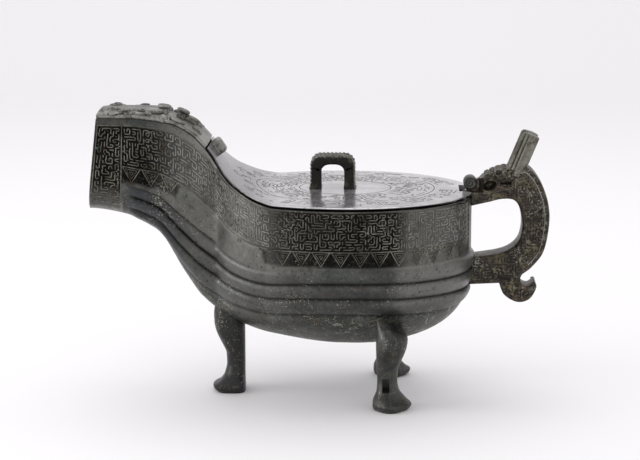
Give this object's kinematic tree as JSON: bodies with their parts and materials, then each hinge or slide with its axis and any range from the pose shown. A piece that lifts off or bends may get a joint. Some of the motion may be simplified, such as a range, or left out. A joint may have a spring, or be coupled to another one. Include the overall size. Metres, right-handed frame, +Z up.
{
  "type": "yi ritual vessel",
  "caption": "Covered bronze pouring vessel on hoofed legs, with a channel spout under a beast mask, a dragon handle and a loop-handled lid that lifts off.",
  "frame": {"origin": "on the ground under the middle of the vessel's length", "axes": "+X towards the handle, -X towards the spout, +Z up"},
  "size_m": [0.3792, 0.1666, 0.2434],
  "materials": {
    "cast_bronze": "dark patina with incised scrolls",
    "smooth_bronze": "smooth dark patina"
  },
  "bodies": {
    "root": {"vessel": "cast_bronze", "lid": "smooth_bronze"}
  },
  "joints": []
}
